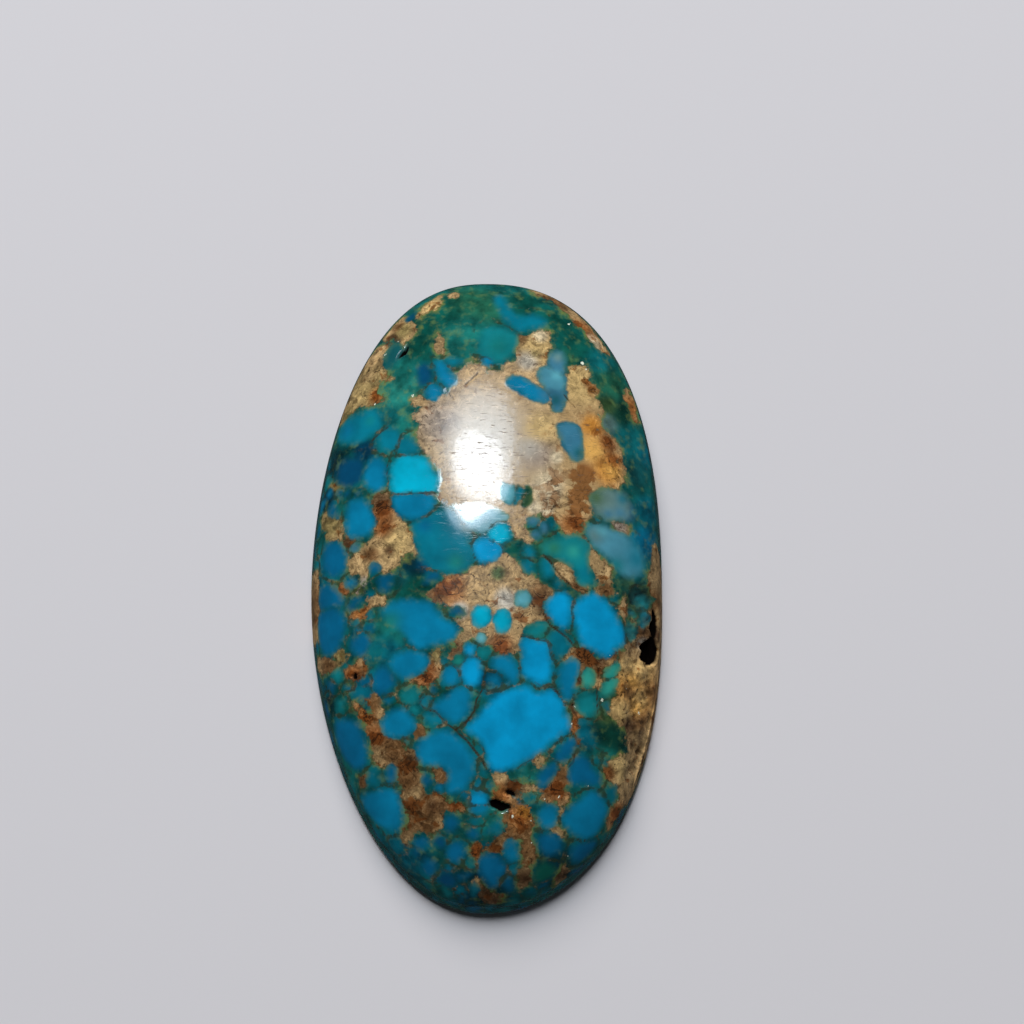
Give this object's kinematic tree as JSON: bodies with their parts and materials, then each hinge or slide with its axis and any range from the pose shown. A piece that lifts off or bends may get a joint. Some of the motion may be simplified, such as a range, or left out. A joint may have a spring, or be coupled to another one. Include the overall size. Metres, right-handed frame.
{
  "type": "turquoise cabochon",
  "caption": "Oval polished turquoise cabochon with brown matrix, a low dome, a thin girdle and a flat back for a bezel or a tabletop.",
  "frame": {"origin": "middle of the flat back, on the surface the stone lies on", "axes": "+Z out of the back towards the crown of the dome, +Y along the stone towards its fuller green end, +X across towards the side with the open matrix and the vug"},
  "size_m": [0.026, 0.0474, 0.0066],
  "materials": {
    "turquoise_in_matrix": "polished blue and green turquoise with tan and rust sandstone matrix, rough where the matrix is open"
  },
  "bodies": {
    "root": {"turquoise": "turquoise_in_matrix"}
  },
  "joints": []
}
